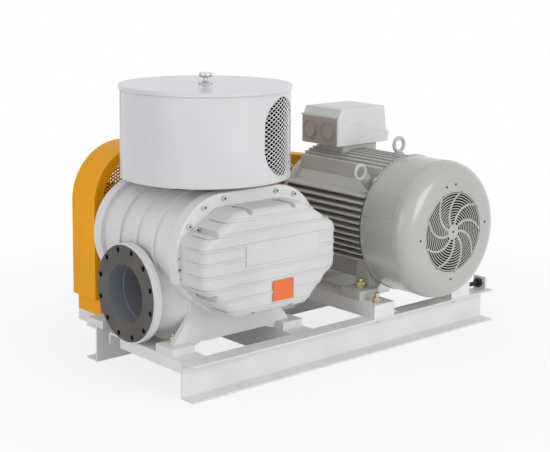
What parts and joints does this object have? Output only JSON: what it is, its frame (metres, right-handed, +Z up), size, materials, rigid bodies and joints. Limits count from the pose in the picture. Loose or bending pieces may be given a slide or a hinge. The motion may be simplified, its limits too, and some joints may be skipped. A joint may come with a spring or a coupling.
{
  "type": "roots vacuum pump",
  "caption": "Belt-driven roots vacuum pump with ribbed casing, suction silencer, guarded V-belt drive and fan-cooled motor on a channel base.",
  "frame": {"origin": "bottom centre of the package, on the floor", "axes": "+Z up; +X along the base from the blower to the motor; +Y towards the belt guard"},
  "size_m": [1.46, 0.894, 0.987],
  "materials": {
    "base_paint": "satin",
    "blower_paint": "satin",
    "silencer_paint": "satin",
    "guard_paint": "satin",
    "motor_paint": "satin",
    "black_mesh": "satin",
    "filter_paper": "matte",
    "cast_iron": "machined",
    "steel": "machined",
    "zinc_bolts": "yellow zinc",
    "black_bolts": "black oxide",
    "rubber": "matte",
    "black_plastic": "matte",
    "orange_plate": "satin",
    "aluminium": "cast"
  },
  "bodies": {
    "package": {"front_beam": "base_paint", "rear_beam": "base_paint", "left_cross_member": "base_paint", "right_cross_member": "base_paint", "stringers": "base_paint", "tension_brackets": "base_paint", "rotor_casing": "blower_paint", "gear_end_plate": "blower_paint", "drive_end_plate": "blower_paint", "gear_cover": "blower_paint", "blank_plate": "orange_plate", "drive_end_cover": "blower_paint", "bearing_outer_rings": "steel", "bearing_rollers": "steel", "shaft_seals": "rubber", "cover_bolts": "blower_paint", "foot_bolts": "zinc_bolts", "silencer_base": "silencer_paint", "filter_element": "filter_paper", "silencer_stud": "steel", "v_belts": "rubber", "belt_guard": "guard_paint", "guard_borders": "guard_paint", "guard_inner_mesh": "guard_paint", "guard_outer_mesh": "guard_paint", "guard_brackets": "base_paint"},
    "drive_rotor_group": {"drive_rotor": "cast_iron", "drive_shaft": "steel", "drive_timing_gear": "steel", "drive_inner_rings": "steel", "blower_pulley": "cast_iron"},
    "driven_rotor_group": {"driven_rotor": "cast_iron", "driven_shaft": "steel", "driven_timing_gear": "steel", "driven_inner_rings": "steel"},
    "silencer_cover": {"silencer_drum": "silencer_paint", "silencer_mesh": "black_mesh", "silencer_lid": "silencer_paint"},
    "lid_knob": {"silencer_knob": "black_plastic"},
    "motor_carriage": {"motor_rails": "base_paint", "rail_bolts": "zinc_bolts", "motor_frame": "motor_paint", "drive_endshield": "motor_paint", "rear_endshield": "motor_paint", "stator_core": "steel", "motor_bearings": "steel", "fan_cowl": "motor_paint", "fan_grille": "motor_paint", "terminal_box": "motor_paint", "terminal_box_lid": "motor_paint", "knockout_plugs": "black_plastic", "eye_bolts": "motor_paint", "motor_foot_bolts": "zinc_bolts"},
    "motor_rotor": {"motor_shaft": "steel", "motor_rotor_core": "aluminium", "cooling_fan": "black_plastic", "motor_pulley": "cast_iron"},
    "tension_bolt_front": {"tension_bolt_front": "black_bolts"},
    "tension_bolt_rear": {"tension_bolt_rear": "black_bolts"}
  },
  "joints": [
    {"name": "drive_rotor_spin", "type": "hinge", "parent": "package", "child": "drive_rotor_group", "pos_m": [-0.509, 0.017, 0.439], "axis": [0, 1, 0], "continuous": true},
    {"name": "driven_rotor_spin", "type": "hinge", "parent": "package", "child": "driven_rotor_group", "pos_m": [-0.289, 0.017, 0.439], "axis": [0, 1, 0], "continuous": true},
    {"name": "motor_tension_slide", "type": "slide", "parent": "package", "child": "motor_carriage", "axis": [1, 0, 0], "range_m": [-0.03, 0.03], "deforming": ["v_belts"]},
    {"name": "motor_rotor_spin", "type": "hinge", "parent": "motor_carriage", "child": "motor_rotor", "pos_m": [0.34, 0.017, 0.42], "axis": [0, 1, 0], "continuous": true},
    {"name": "tension_bolt_front_turn", "type": "hinge", "parent": "package", "child": "tension_bolt_front", "pos_m": [0.69, -0.279, 0.145], "axis": [1, 0, 0], "continuous": true},
    {"name": "tension_bolt_rear_turn", "type": "hinge", "parent": "package", "child": "tension_bolt_rear", "pos_m": [0.69, 0.237, 0.145], "axis": [1, 0, 0], "continuous": true},
    {"name": "silencer_cover_lift", "type": "slide", "parent": "package", "child": "silencer_cover", "axis": [0, 0, 1], "range_m": [0, 0.32]},
    {"name": "silencer_knob_turn", "type": "hinge", "parent": "silencer_cover", "child": "lid_knob", "pos_m": [-0.399, 0.017, 0.96], "axis": [0, 0, 1], "continuous": true}
  ],
  "couplings": [
    {"joint": "driven_rotor_spin", "follows": "drive_rotor_spin", "ratio": -1},
    {"joint": "motor_rotor_spin", "follows": "drive_rotor_spin", "ratio": 1.1786}
  ]
}
